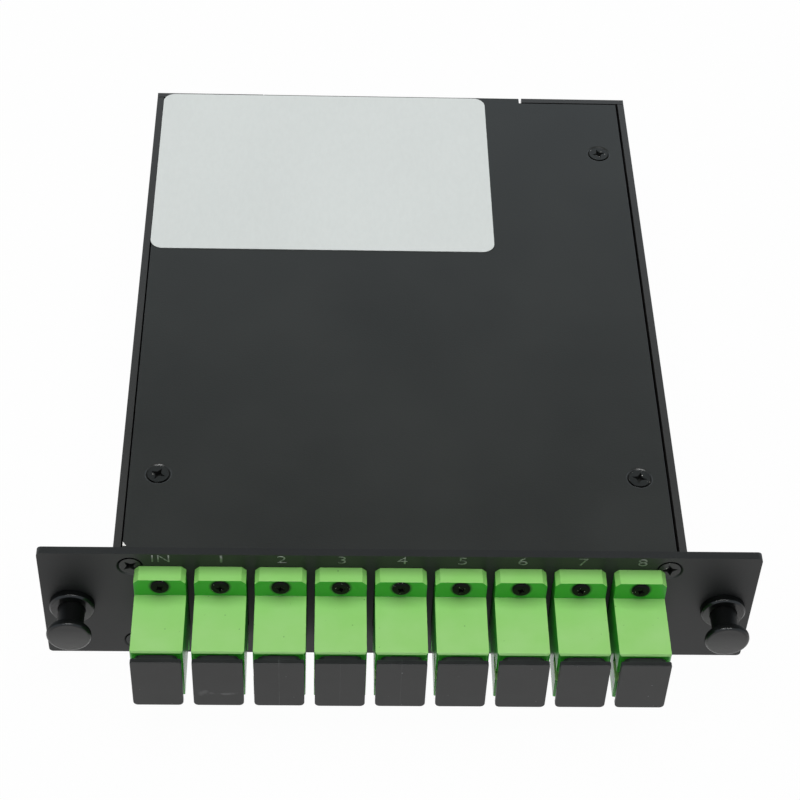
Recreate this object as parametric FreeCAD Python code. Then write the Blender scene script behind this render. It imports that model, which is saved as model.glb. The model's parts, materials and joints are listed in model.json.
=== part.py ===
import FreeCAD
import Part
import math
import os

# A rack cassette that splits one optical fibre into eight: a folded steel tray with an inset
# cover behind a flat panel, nine single-fibre adapters with dust caps, and two push-pull
# plunger latches.  Millimetres.  X runs along the panel, Y from the panel to the rear, Z up.
# The origin is midway between the two latches, on the panel's rear face.

# adapters, from the port outwards
adapter_count = 9
adapter_z = 0.4
port_width = 7.5
port_height = 9.1
hook_slot_width = 3.8
hook_slot_depth = 1.15
adapter_side_wall = 0.885
adapter_end_wall = 0.7
adapter_gap = 1.51
adapter_front = 15.95
adapter_rear = 12.7
flange_thick = 3.25
flange_chamfer = 0.85
flange_screw_gap = 0.9
flange_edge = 1.7
rim_bevel = 0.3
key_width = 2.6
key_depth = 4.5
key_overlap = 0.5
cutout_gap = 0.1

# sleeve holders and split sleeves inside the adapters
sleeve_bore = 2.5
sleeve_wall = 0.35
sleeve_slit = 0.4
sleeve_inset = 0.6
holder_wall = 0.6
holder_length = 12.6
holder_plate = 2.4
plate_lip = 0.25
hook_length = 8.2
hook_side_gap = 0.4
hook_thick = 0.8
hook_nose = 0.6
hook_nose_length = 1.2
hook_clear = 0.3

# pan-head screws of the adapters
pan_screw = 2.0
pan_head = 3.2
pan_head_height = 0.5
pan_length = 6.5

# dust caps
cap_side_inset = 0.16
cap_end_inset = 0.1
cap_plate = 1.0
cap_neck = 1.15
cap_neck_side = 0.625
cap_neck_end = 0.5
cap_plug_length = 10.5
cap_plug_gap = 0.3
cap_hook_gap = 0.5
cap_corner = 0.9
cap_top_corner = 0.35
cap_neck_corner = 1.3
cap_gap = 0.05
cap_bore_clear = 0.3

# connectors inside the cassette
plug_nose_gap = 0.35
plug_grip_width = 7.4
plug_grip_height = 9.0
plug_grip_length = 12.0
plug_clear = 0.3
boot_collar = 3.0
boot_length = 8.0
boot_wide = 4.6
boot_narrow = 3.0
key_rib_gap = 0.15
key_rib_height = 0.95

# front panel; the margin is above and below the adapters' flanges
panel_thick = 1.6
panel_corner = 0.8
panel_margin = 3.75
panel_overhang = 0.5

# folded tray
body_depth = 130.0
row_side_gap = 2.395
sheet = 1.35
bend_inner = 0.3
corner_seam = 0.15
corner_relief = 2.0
ear_length = 6.3
ear_height = 4.4
ear_gap = 0.2
ear_screw_inset = 3.0
ear_screw_drop = 1.45

# countersunk screws of the cover and the panel
csk_screw = 2.5
csk_depth = 1.15
csk_length = 6.0
cover_screw_inset = 6.95
cover_screw_front = 18.0
cover_screw_rear = 18.6

# inset cover; the land is what the countersinks leave of its thickness
cover_land = 0.15
cover_left_gap = 0.3
cover_right_gap = 0.5
cover_front_gap = 0.15
cover_rear_gap = 0.3
tab_width = 56.5
tab_left_gap = 0.1
tab_right_gap = 0.55

# blank label
label_width = 70.6
label_depth = 50.2
label_thick = 0.12
label_corner = 2.5
label_side = 1.45
label_rear = 0.4

# cover brackets, welded inside the side walls
bracket_width = 10.0
bracket_reach = 10.5
bracket_drop = 9.0
bracket_thick = 1.35
bracket_boss = 5.0
bracket_boss_height = 1.8

# push-pull plunger latches
latch_body_gap = 8.1
latch_edge = 5.4
latch_flange = 8.2
latch_flange_thick = 1.5
latch_wall = 0.59
latch_shoulder = 0.2
latch_barrel_length = 9.5
latch_slot = 0.8
latch_slot_start = 3.0
latch_neck = 4.9
latch_head = 8.1
latch_head_thick = 1.5
latch_head_front = 7.8
latch_round = 0.35
latch_pin = 3.4
latch_pin_length = 5.0
latch_neck_end = 1.0

# splitter, fibres and their clips, on the tray's floor
fibre = 0.9
fibre_sides = 8
bundle = 2.8
seal_wall = 0.3
seal_length = 1.5
splitter_wall = 0.3
splitter_length = 40.0
lead_sink = 1.0
tail_room = 20.6
tail_squeeze = 0.72
bend_share = 0.45
coil_width = 7.0
coil_height = 4.8
coil_chamfer = 1.2
coil_corner = 20.0
clip_wall = 0.9
clip_foot = 3.0
clip_gap = 0.15
clip_tail_gap = 0.43
clip_side_gap = 2.6
clip_rear_gap = 3.1
module_clip_inset = 7.0

# how far a cutting tool runs past the face it cuts, and how near counts as touching
cut_over = 1.0
touching = 0.001

# named clearances
running_gap = 0.06
thread_gap = 0.05
through_gap = 0.1
seat_gap = 0.05
press_gap = 0.02

# derived sizes of the adapters and of what they hold
hook_slot_height = port_height + 2 * hook_slot_depth
adapter_width = port_width + 2 * adapter_side_wall
adapter_height = hook_slot_height + 2 * adapter_end_wall
adapter_pitch = adapter_width + adapter_gap
flange_screw_z = adapter_height / 2.0 + flange_screw_gap + pan_head / 2.0
flange_height = 2 * (flange_screw_z + flange_edge)
sleeve_outer = sleeve_bore + 2 * sleeve_wall
sleeve_length = holder_length - 2 * sleeve_inset
holder_outer = sleeve_outer + 2 * (seat_gap + holder_wall)
hook_outer_z = hook_slot_height / 2.0 - hook_clear
hook_inner_z = hook_outer_z - hook_thick
hook_nose_z = hook_inner_z - hook_nose
plug_height = 2 * (hook_nose_z - cap_hook_gap)
cap_plug_width = port_width - 2 * cap_plug_gap
plug_nose_width = port_width - 2 * plug_nose_gap

# derived sizes of the panel and the tray
panel_height = flange_height + 2 * panel_margin
body_height = panel_height - 2 * panel_overhang
row_half = ((adapter_count - 1) * adapter_pitch + adapter_width) / 2.0
inner_wall = row_half + row_side_gap
half_body = inner_wall + sheet
latch_x = half_body + latch_body_gap
panel_width = 2 * (latch_x + latch_edge)
latch_barrel = latch_neck + 2 * (running_gap + latch_wall)
latch_collar = latch_barrel + 2 * latch_shoulder
csk_head = csk_screw + 2 * csk_depth
cover_thick = csk_depth + cover_land

# derived places
panel_front_y = -panel_thick
body_top = body_height / 2.0
body_floor = -body_height / 2.0
floor_top = body_floor + sheet
bend_outer = bend_inner + sheet
rear_wall_y = body_depth - sheet
cover_bottom = body_top - cover_thick
panel_screw_x = half_body - ear_screw_inset
panel_screw_z = cover_bottom - ear_gap - ear_screw_drop
adapter_front_y = panel_front_y - adapter_front
adapter_rear_y = panel_front_y + adapter_rear
adapter_mid_y = (adapter_front_y + adapter_rear_y) / 2.0
flange_front_y = panel_front_y - flange_thick
cover_screw_x = half_body - cover_screw_inset
cover_screw_ys = (cover_screw_front, body_depth - cover_screw_rear)
grip_end_y = adapter_rear_y + plug_clear + plug_grip_length
boot_end_y = grip_end_y + boot_length

# derived sizes and places of the fibres' coil, the splitter and the clips
clip_reach = clip_gap + clip_wall + clip_foot
tail_pitch = adapter_pitch * tail_squeeze
clip_length = tail_pitch - fibre - 2 * clip_tail_gap
coil_half_x = inner_wall - clip_side_gap - clip_reach - coil_width / 2.0
coil_front = boot_end_y + tail_room
coil_rear = rear_wall_y - clip_rear_gap - clip_reach - coil_width / 2.0
coil_middle_y = (coil_front + coil_rear) / 2.0
coil_z = floor_top + coil_height / 2.0
splitter_seal = bundle + 2 * seal_wall
splitter_side = splitter_seal + 2 * splitter_wall
splitter_z = floor_top + splitter_side / 2.0
lead_start_x = splitter_length / 2.0 + seal_length
lead_bend = coil_half_x - coil_width / 2.0 + lead_sink - lead_start_x


def vec(x, y, z):
    return FreeCAD.Vector(x, y, z)


def box(x0, x1, y0, y1, z0, z1):
    return Part.makeBox(x1 - x0, y1 - y0, z1 - z0, vec(x0, y0, z0))


def centred_box(x, z, width, height, y0, y1):
    return box(x - width / 2.0, x + width / 2.0, y0, y1, z - height / 2.0, z + height / 2.0)


def rod(diameter, y0, y1, x, z):
    return Part.makeCylinder(diameter / 2.0, y1 - y0, vec(x, y0, z), vec(0, 1, 0))


def post(diameter, z0, z1, x, y):
    return Part.makeCylinder(diameter / 2.0, z1 - z0, vec(x, y, z0), vec(0, 0, 1))


def prism(points, direction):
    wire = Part.makePolygon(points + [points[0]])
    return Part.Face(wire).extrude(direction)


def turned(profile, x, z):
    # a solid of revolution about the line along Y through (x, z); profile holds (radius, y)
    points = [vec(x + radius, y, z) for radius, y in profile]
    face = Part.Face(Part.makePolygon(points + [points[0]]))
    return face.revolve(vec(x, 0, z), vec(0, 1, 0), 360)


def outline(corners):
    # a closed wire through corners, each (point, radius); a radius of 0 leaves the corner sharp
    edges = []
    count = len(corners)
    starts = []
    ends = []
    for i in range(count):
        point, radius = corners[i]
        to_last = (corners[i - 1][0] - point).normalize()
        to_next = (corners[(i + 1) % count][0] - point).normalize()
        half_angle = to_last.getAngle(to_next) / 2.0
        back = radius / math.tan(half_angle)
        starts.append(point + to_last * back)
        ends.append(point + to_next * back)
        if radius > 0:
            bisector = (to_last + to_next).normalize()
            middle = point + bisector * (radius / math.sin(half_angle) - radius)
            edges.append(Part.Arc(starts[i], middle, ends[i]).toShape())
    for i in range(count):
        edges.append(Part.LineSegment(ends[i], starts[(i + 1) % count]).toShape())
    return Part.Wire(Part.__sortEdges__(edges))


def upright_plate(x, z, width, height, y0, y1, top_round, low_round):
    right = x + width / 2.0
    left = x - width / 2.0
    top = z + height / 2.0
    low = z - height / 2.0
    wire = outline([(vec(left, y0, low), low_round), (vec(right, y0, low), low_round),
                    (vec(right, y0, top), top_round), (vec(left, y0, top), top_round)])
    return Part.Face(wire).extrude(vec(0, y1 - y0, 0))


def countersink(x, z):
    # clearance hole and cone for one panel screw, from the panel's front face
    hole_radius = csk_screw / 2.0 + through_gap
    head_radius = csk_head / 2.0 + seat_gap
    cone = Part.makeCone(head_radius, hole_radius, head_radius - hole_radius,
                         vec(x, panel_front_y, z), vec(0, 1, 0))
    return cone.fuse(rod(2 * hole_radius, panel_front_y, 0, x, z))


def csk_profile():
    # (radius, depth) of a countersunk screw from the middle of its head
    shank = csk_screw / 2.0 - thread_gap
    head = csk_head / 2.0
    return [(0, 0), (head, 0), (shank, head - shank), (shank, csk_length), (0, csk_length)]


def adapter_x(place):
    return (place - (adapter_count - 1) / 2.0) * adapter_pitch


def body_tray():
    tray = box(-half_body, half_body, 0, body_depth, body_floor, body_top)
    tray = tray.makeFillet(bend_outer, floor_edges(tray, body_floor, half_body, body_depth))
    hollow = box(-inner_wall, inner_wall, -sheet, rear_wall_y, floor_top, body_top + sheet)
    hollow = hollow.makeFillet(bend_inner, floor_edges(hollow, floor_top, inner_wall, rear_wall_y))
    tray = tray.cut(hollow)
    cuts = [tab_notch()]
    for side in (-1, 1):
        cuts += corner_cuts(side)
        cuts += [ear_cut(side, level) for level in (-1, 1)]
    tray = tray.cut(cuts)
    ears = [front_ear(side, level) for side in (-1, 1) for level in (-1, 1)]
    return tray.fuse(ears).removeSplitter()


def floor_edges(solid, floor, half_width, rear):
    # the two side bends and the rear bend of a box's floor
    found = []
    for edge in solid.Edges:
        middle = edge.CenterOfMass
        on_side = abs(abs(middle.x) - half_width) < touching
        on_rear = abs(middle.y - rear) < touching
        if abs(middle.z - floor) < touching and on_side != on_rear:
            found.append(edge)
    return found


def tab_notch():
    left = -tab_width / 2.0 - tab_left_gap
    right = tab_width / 2.0 + tab_right_gap
    return box(left, right, rear_wall_y - sheet, body_depth + sheet, cover_bottom, body_top + sheet)


def corner_cuts(side):
    # the seam between a side wall's end and the rear wall, and the bend relief below it
    seam = box(inner_wall, half_body + sheet, rear_wall_y - corner_seam, rear_wall_y,
               body_floor + corner_relief, body_top + sheet)
    start = half_body - corner_relief
    relief = box(start, half_body + sheet, body_depth - corner_relief, body_depth + sheet,
                 body_floor - sheet, body_floor + corner_relief)
    if side < 0:
        seam = seam.mirror(vec(0, 0, 0), vec(1, 0, 0))
        relief = relief.mirror(vec(0, 0, 0), vec(1, 0, 0))
    return [seam, relief]


def ear_levels(level):
    # the ears stand clear of the floor and of the cover by the same gap
    outer = cover_bottom - ear_gap if level > 0 else -(floor_top + ear_gap)
    low = outer - ear_height
    return (low, outer) if level > 0 else (-outer, -low)


def ear_cut(side, level):
    low, top = ear_levels(level)
    cut = box(inner_wall - sheet, half_body + sheet, -sheet, bend_outer, low, top)
    return cut if side > 0 else cut.mirror(vec(0, 0, 0), vec(1, 0, 0))


def front_ear(side, level):
    # a tab bent in from the side wall behind the panel, tapped for one panel screw
    low, top = ear_levels(level)
    tip = half_body - ear_length
    rear = bend_outer + sheet
    wire = outline([(vec(tip, 0, low), 0), (vec(half_body, 0, low), bend_outer),
                    (vec(half_body, rear, low), 0), (vec(inner_wall, rear, low), 0),
                    (vec(inner_wall, sheet, low), bend_inner), (vec(tip, sheet, low), 0)])
    ear = Part.Face(wire).extrude(vec(0, 0, top - low))
    ear = ear.cut(rod(csk_screw, -sheet, 2 * sheet, panel_screw_x, level * panel_screw_z))
    return ear if side > 0 else ear.mirror(vec(0, 0, 0), vec(1, 0, 0))


def cover_screw_places():
    return [(side * cover_screw_x, y) for y in cover_screw_ys for side in (-1, 1)]


def top_cover():
    plate = box(-inner_wall + cover_left_gap, inner_wall - cover_right_gap,
                cover_front_gap, rear_wall_y - cover_rear_gap, cover_bottom, body_top)
    tab = box(-tab_width / 2.0, tab_width / 2.0, rear_wall_y - cover_rear_gap - sheet, body_depth,
              cover_bottom, body_top)
    cover = plate.fuse(tab)
    hole_radius = csk_screw / 2.0 + through_gap
    head_radius = csk_head / 2.0 + seat_gap
    for x, y in cover_screw_places():
        cone = Part.makeCone(hole_radius, head_radius, head_radius - hole_radius,
                             vec(x, y, body_top - head_radius + hole_radius))
        cover = cover.cut(cone.fuse(post(2 * hole_radius, cover_bottom, body_top, x, y)))
    return cover.removeSplitter()


def cover_bracket(side, y):
    # an angle welded to the side wall, with a tapped boss for one cover screw
    tip = inner_wall - bracket_reach
    rear = y + bracket_width / 2.0
    front = y - bracket_width / 2.0
    bend = bracket_thick + bend_inner
    wire = outline([(vec(tip, front, cover_bottom), 0), (vec(inner_wall, front, cover_bottom), bend),
                    (vec(inner_wall, front, cover_bottom - bracket_drop), 0),
                    (vec(inner_wall - bracket_thick, front, cover_bottom - bracket_drop), 0),
                    (vec(inner_wall - bracket_thick, front, cover_bottom - bracket_thick), bend_inner),
                    (vec(tip, front, cover_bottom - bracket_thick), 0)])
    angle = Part.Face(wire).extrude(vec(0, rear - front, 0))
    boss_low = cover_bottom - bracket_thick - bracket_boss_height
    angle = angle.fuse(post(bracket_boss, boss_low, cover_bottom - bracket_thick, cover_screw_x, y))
    angle = angle.cut(post(csk_screw, boss_low - sheet, body_top, cover_screw_x, y))
    return angle if side > 0 else angle.mirror(vec(0, 0, 0), vec(1, 0, 0))


def front_panel():
    panel = upright_plate(0, 0, panel_width, panel_height, panel_front_y, 0, panel_corner, panel_corner)
    cuts = []
    front = panel_front_y - cut_over
    for place in range(adapter_count):
        x = adapter_x(place)
        cuts.append(centred_box(x, adapter_z, adapter_width + 2 * cutout_gap,
                                adapter_height + 2 * cutout_gap, front, cut_over))
        for level in (-1, 1):
            cuts.append(rod(pan_screw, front, cut_over, x, adapter_z + level * flange_screw_z))
    for side in (-1, 1):
        cuts.append(rod(latch_collar + 2 * press_gap, front, cut_over, side * latch_x, 0))
        for level in (-1, 1):
            cuts.append(countersink(side * panel_screw_x, level * panel_screw_z))
    return panel.cut(cuts)


def blank_label():
    left = label_side - half_body
    right = left + label_width
    rear = body_depth - label_rear
    front = rear - label_depth
    wire = outline([(vec(left, front, body_top), label_corner), (vec(right, front, body_top), label_corner),
                    (vec(right, rear, body_top), label_corner), (vec(left, rear, body_top), label_corner)])
    return Part.Face(wire).extrude(vec(0, 0, label_thick))


def cover_screws():
    screws = []
    for x, y in cover_screw_places():
        head_z = body_top - seat_gap
        points = [vec(x + radius, y, head_z - depth) for radius, depth in csk_profile()]
        face = Part.Face(Part.makePolygon(points + [points[0]]))
        screws.append(face.revolve(vec(x, y, 0), vec(0, 0, 1), 360))
    return screws


def panel_screws():
    profile = [(radius, panel_front_y + seat_gap + depth) for radius, depth in csk_profile()]
    return [turned(profile, side * panel_screw_x, level * panel_screw_z)
            for level in (-1, 1) for side in (-1, 1)]


def adapter_screws():
    shank = pan_screw / 2.0 - thread_gap
    head = pan_head / 2.0
    profile = [(0, flange_front_y - pan_head_height), (head, flange_front_y - pan_head_height),
               (head, flange_front_y), (shank, flange_front_y), (shank, flange_front_y + pan_length),
               (0, flange_front_y + pan_length)]
    return [turned(profile, adapter_x(place), adapter_z + level * flange_screw_z)
            for place in range(adapter_count) for level in (-1, 1)]


def adapter(place):
    # a single-fibre adapter: a square tube through the panel with a tall chamfered flange
    x = adapter_x(place)
    half_width = adapter_width / 2.0
    half_flange = flange_height / 2.0
    chamfer = flange_chamfer
    body = centred_box(x, adapter_z, adapter_width, adapter_height, adapter_front_y, adapter_rear_y)
    front_edges = [edge for edge in body.Edges if abs(edge.CenterOfMass.y - adapter_front_y) < touching]
    body = body.makeChamfer(rim_bevel, front_edges)
    corners = []
    for sx, sz in ((-1, -1), (1, -1), (1, 1), (-1, 1)):
        near_side = vec(x + sx * half_width, flange_front_y, adapter_z + sz * (half_flange - chamfer))
        near_end = vec(x + sx * (half_width - chamfer), flange_front_y, adapter_z + sz * half_flange)
        corners += [near_side, near_end] if sx * sz > 0 else [near_end, near_side]
    flange = prism(corners, vec(0, flange_thick, 0))
    housing = body.fuse(flange)
    front = adapter_front_y - cut_over
    rear = adapter_rear_y + cut_over
    half_lip = holder_plate / 2.0 + seat_gap
    lip_width = port_width + 2 * (plate_lip + seat_gap)
    cuts = [centred_box(x, adapter_z, port_width, port_height, front, rear),
            centred_box(x, adapter_z, hook_slot_width, hook_slot_height, front, rear),
            centred_box(x, adapter_z, lip_width, hook_slot_height,
                        adapter_mid_y - half_lip, adapter_mid_y + half_lip)]
    for start, end in ((front, adapter_front_y + key_depth), (adapter_rear_y - key_depth, rear)):
        cuts.append(box(x - half_width - cut_over, x - port_width / 2.0 + key_overlap, start, end,
                        adapter_z - key_width / 2.0, adapter_z + key_width / 2.0))
    for level in (-1, 1):
        cuts.append(rod(pan_screw + 2 * through_gap, flange_front_y - cut_over, panel_front_y + cut_over,
                        x, adapter_z + level * flange_screw_z))
    return housing.cut(cuts).removeSplitter()


def sleeve_holder(place):
    # the moulded insert of an adapter: a plate, the sleeve's tube and four latch hooks
    x = adapter_x(place)
    half_plate = holder_plate / 2.0
    holder = centred_box(x, adapter_z, port_width + 2 * plate_lip, hook_slot_height - 2 * seat_gap,
                         adapter_mid_y - half_plate, adapter_mid_y + half_plate)
    tube = rod(holder_outer, adapter_mid_y - holder_length / 2.0, adapter_mid_y + holder_length / 2.0,
               x, adapter_z)
    hooks = [hook(x, end, level) for end in (-1, 1) for level in (-1, 1)]
    holder = holder.fuse([tube] + hooks)
    bore = rod(sleeve_outer + 2 * seat_gap, adapter_mid_y - holder_length, adapter_mid_y + holder_length,
               x, adapter_z)
    return holder.cut(bore).removeSplitter()


def hook(x, end, level):
    # one latch arm along the port, its nose turned in towards the sleeve
    half_width = hook_slot_width / 2.0 - hook_side_gap
    nose_start = hook_length - hook_nose_length
    profile = [(0, hook_outer_z), (hook_length, hook_outer_z), (hook_length, hook_inner_z),
               (hook_length - hook_nose, hook_nose_z), (nose_start, hook_nose_z),
               (nose_start, hook_inner_z), (0, hook_inner_z)]
    points = [vec(x - half_width, adapter_mid_y + end * along, adapter_z + level * up)
              for along, up in profile]
    return prism(points, vec(2 * half_width, 0, 0))


def alignment_sleeves():
    sleeves = []
    for place in range(adapter_count):
        x = adapter_x(place)
        start = adapter_mid_y - sleeve_length / 2.0
        end = adapter_mid_y + sleeve_length / 2.0
        tube = rod(sleeve_outer, start, end, x, adapter_z)
        bore = rod(sleeve_bore, start - cut_over, end + cut_over, x, adapter_z)
        slit = box(x, x + sleeve_outer, start - cut_over, end + cut_over,
                   adapter_z - sleeve_slit / 2.0, adapter_z + sleeve_slit / 2.0)
        sleeves.append(tube.cut([bore, slit]))
    return sleeves


def dust_cap(place):
    # a flat plate and neck in front of the port, and a bored plug that reaches round the sleeve holder
    x = adapter_x(place)
    neck_rear = adapter_front_y - cap_gap
    plate_rear = neck_rear - cap_neck
    plug_rear = neck_rear + cap_plug_length
    width = adapter_width - 2 * cap_side_inset
    height = adapter_height - 2 * cap_end_inset
    plate = upright_plate(x, adapter_z, width, height, plate_rear - cap_plate, plate_rear,
                          cap_top_corner, cap_corner)
    neck = upright_plate(x, adapter_z, width - 2 * cap_neck_side, height - 2 * cap_neck_end,
                         plate_rear, neck_rear, cap_neck_corner, cap_neck_corner)
    plug = centred_box(x, adapter_z, cap_plug_width, plug_height, neck_rear, plug_rear)
    cap = plate.fuse([neck, plug])
    bore = rod(holder_outer + 2 * cap_bore_clear, neck_rear, plug_rear + cut_over, x, adapter_z)
    return cap.cut(bore).removeSplitter()


def connector(place):
    # a plug on the cassette's side of an adapter: nose, ferrule, keyed grip and stepped boot
    x = adapter_x(place)
    nose_front = adapter_mid_y + holder_length / 2.0 + plug_clear
    grip_front = adapter_rear_y + plug_clear
    nose = centred_box(x, adapter_z, plug_nose_width, plug_height, nose_front, grip_front)
    grip = centred_box(x, adapter_z, plug_grip_width, plug_grip_height, grip_front, grip_end_y)
    rib_front = adapter_rear_y - key_depth + plug_clear
    nose_side = x - plug_nose_width / 2.0
    half_rib = key_width / 2.0 - key_rib_gap
    rib = box(nose_side - key_rib_height, nose_side, rib_front, grip_front,
              adapter_z - half_rib, adapter_z + half_rib)
    collar = rod(boot_wide, grip_end_y, grip_end_y + boot_collar, x, adapter_z)
    boot = rod(boot_narrow, grip_end_y + boot_collar, boot_end_y, x, adapter_z)
    ferrule = rod(sleeve_bore - press_gap, adapter_mid_y + seat_gap, nose_front, x, adapter_z)
    return nose.fuse([grip, rib, collar, boot, ferrule]).removeSplitter()


def latch_grommet(side):
    # the fixed half of a latch: a flange and a shoulder in the panel, and behind it a barrel whose
    # rear part is split into four legs
    x = side * latch_x
    flange_front = panel_front_y - latch_flange_thick
    flange = latch_flange / 2.0
    collar = latch_collar / 2.0
    barrel = latch_barrel / 2.0
    bore = latch_neck / 2.0 + running_gap
    tip = latch_barrel_length
    head = turned([(bore, flange_front), (flange - latch_round, flange_front),
                   (flange, flange_front + latch_round), (flange, panel_front_y), (collar, panel_front_y),
                   (collar, 0), (barrel, 0), (barrel, latch_slot_start), (bore, latch_slot_start)], x, 0)
    legs = turned([(bore, latch_slot_start), (barrel, latch_slot_start), (barrel, tip - latch_round),
                   (barrel - latch_round, tip), (bore, tip)], x, 0)
    across = 2 * latch_barrel
    legs = legs.cut([centred_box(x, 0, latch_slot, across, latch_slot_start, tip),
                     centred_box(x, 0, across, latch_slot, latch_slot_start, tip)])
    return head.fuse(legs)


def latch_plunger(side):
    # the moving half: a mushroom head, a neck that runs in the grommet and a thinner spreading pin
    face = panel_front_y - latch_head_front
    head = latch_head / 2.0
    neck = latch_neck / 2.0
    pin = latch_pin / 2.0
    back = face + latch_head_thick
    flare = latch_round
    profile = [(0, face), (head - latch_round, face), (head, face + latch_round), (head, back - flare),
               (head - flare, back), (neck + flare, back), (neck, back + flare), (neck, latch_neck_end),
               (pin, latch_neck_end + neck - pin), (pin, latch_pin_length - pin / 2.0),
               (pin / 2.0, latch_pin_length), (0, latch_pin_length)]
    return turned(profile, side * latch_x, 0)


def splitter_module():
    # the splitter's closed steel tube with its two end seals, lying along X on the floor
    half = splitter_length / 2.0
    half_side = splitter_side / 2.0
    tube = box(-half, half, coil_middle_y - half_side, coil_middle_y + half_side,
               floor_top, floor_top + splitter_side)
    seals = [Part.makeCylinder(splitter_seal / 2.0, seal_length, vec(side * half, coil_middle_y, splitter_z),
                               vec(side, 0, 0)) for side in (-1, 1)]
    return tube.fuse(seals).removeSplitter()


def fibre_coil():
    # the slack of all nine fibres as one closed ring
    corners = [vec(-coil_half_x, coil_front, coil_z), vec(coil_half_x, coil_front, coil_z),
               vec(coil_half_x, coil_rear, coil_z), vec(-coil_half_x, coil_rear, coil_z)]
    path = outline([(corner, coil_corner) for corner in corners])
    half_width = coil_width / 2.0
    half_height = coil_height / 2.0
    ring = [(-half_width, coil_chamfer - half_height), (coil_chamfer - half_width, -half_height),
            (half_width - coil_chamfer, -half_height), (half_width, coil_chamfer - half_height),
            (half_width, half_height - coil_chamfer), (half_width - coil_chamfer, half_height),
            (coil_chamfer - half_width, half_height), (-half_width, half_height - coil_chamfer)]
    points = [vec(0, coil_front + across, coil_z + up) for across, up in ring]
    section = Part.makePolygon(points + [points[0]])
    return path.makePipeShell([section], True, False)


def tube_along(edges, diameter):
    # a fibre or a bundle along a path that starts level; its section is a polygon, for few faces
    path = Part.Wire(edges)
    start = edges[0].valueAt(edges[0].FirstParameter)
    up = vec(0, 0, diameter / 2.0)
    across = edges[0].tangentAt(edges[0].FirstParameter).cross(up)
    turns = [2 * math.pi * corner / fibre_sides for corner in range(fibre_sides)]
    ring = [start + across * math.cos(turn) + up * math.sin(turn) for turn in turns]
    return path.makePipeShell([Part.makePolygon(ring + [ring[0]])], True, False)


def fibre_tail(place, coil):
    # one fibre from its boot down into the coil: two straight runs and the widest arc between them
    start = vec(adapter_x(place), boot_end_y, adapter_z)
    end_x = start.x * tail_squeeze
    past_straight = max(0.0, abs(end_x) - coil_half_x + coil_corner)
    end_y = coil_front + coil_corner - math.sqrt(coil_corner ** 2 - past_straight ** 2)
    end = vec(end_x, end_y, coil_z)
    corner = vec(start.x, (start.y + end.y) / 2.0, start.z)
    first = corner - start
    second = end - corner
    turn = first.getAngle(second)
    back = bend_share * min(first.Length, second.Length)
    radius = back / math.tan(turn / 2.0)
    arc_start = corner - first.normalize() * back
    arc_end = corner + second.normalize() * back
    inward = (second - first).normalize()
    middle = corner + inward * (radius / math.cos(turn / 2.0) - radius)
    edges = [Part.LineSegment(start, arc_start).toShape(), Part.Arc(arc_start, middle, arc_end).toShape(),
             Part.LineSegment(arc_end, end).toShape()]
    return tube_along(edges, fibre).cut(coil)


def splitter_lead(side, diameter, coil):
    # the splitter's own lead, from its end seal round a quarter turn into the coil
    start = vec(side * lead_start_x, coil_middle_y, splitter_z)
    end = start + vec(side * lead_bend, lead_bend, 0)
    half_turn = math.pi / 4
    middle = start + vec(side * lead_bend * math.sin(half_turn), lead_bend * (1 - math.cos(half_turn)), 0)
    return tube_along([Part.Arc(start, middle, end).toShape()], diameter).cut(coil)


def saddle_clip(width, height, x, y, turned_round):
    # a plastic arch with two feet, stuck to the floor over a coil or a module
    inner = width / 2.0 + clip_gap
    outer = inner + clip_wall
    inner_top = height + clip_gap
    outer_top = inner_top + clip_wall
    foot = width / 2.0 + clip_reach
    profile = [(-foot, 0), (-inner, 0), (-inner, inner_top), (inner, inner_top), (inner, 0), (foot, 0),
               (foot, clip_wall), (outer, clip_wall), (outer, outer_top), (-outer, outer_top),
               (-outer, clip_wall), (-foot, clip_wall)]
    if turned_round:
        points = [vec(x + across, y - clip_length / 2.0, floor_top + up) for across, up in profile]
        return prism(points, vec(0, clip_length, 0))
    points = [vec(x - clip_length / 2.0, y + across, floor_top + up) for across, up in profile]
    return prism(points, vec(clip_length, 0, 0))


def coil_clips():
    # the front clip stands between two of the tails
    return [saddle_clip(coil_width, coil_height, tail_pitch / 2.0, coil_front, False),
            saddle_clip(coil_width, coil_height, 0, coil_rear, False),
            saddle_clip(coil_width, coil_height, -coil_half_x, coil_middle_y, True),
            saddle_clip(coil_width, coil_height, coil_half_x, coil_middle_y, True)]


def module_clips():
    clip_x = splitter_length / 2.0 - module_clip_inset
    return [saddle_clip(splitter_side, splitter_side, side * clip_x, coil_middle_y, False)
            for side in (-1, 1)]


def save(name, solids):
    shape = solids if isinstance(solids, Part.Shape) else Part.makeCompound(solids)
    shape.exportStep("parts/" + name + ".step")
    print(name, "solids", len(shape.Solids), "volume", round(shape.Volume, 2), "valid", shape.isValid())


os.makedirs("parts", exist_ok=True)
save("body_tray", body_tray())
save("top_cover", top_cover())
save("front_panel", front_panel())
save("blank_label", blank_label())
save("cover_screws", cover_screws())
save("panel_screws", panel_screws())
save("adapter_screws", adapter_screws())
for side, side_name in ((-1, "left"), (1, "right")):
    save("cover_bracket_front_" + side_name, cover_bracket(side, cover_screw_ys[0]))
    save("cover_bracket_rear_" + side_name, cover_bracket(side, cover_screw_ys[1]))
    save("latch_grommet_" + side_name, latch_grommet(side))
    save("latch_plunger_" + side_name, latch_plunger(side))
for place in range(adapter_count):
    port = "in" if place == 0 else str(place)
    save("adapter_" + port, adapter(place))
    save("dust_cap_" + port, dust_cap(place))
    save("connector_" + port, connector(place))
save("sleeve_holders", [sleeve_holder(place) for place in range(adapter_count)])
save("alignment_sleeves", alignment_sleeves())
save("splitter_module", splitter_module())
save("module_clips", module_clips())
coil = fibre_coil()
save("fibre_coil", coil)
save("coil_clips", coil_clips())
tails = [fibre_tail(place, coil) for place in range(adapter_count)]
save("input_fibre", [tails[0], splitter_lead(-1, fibre, coil)])
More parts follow.
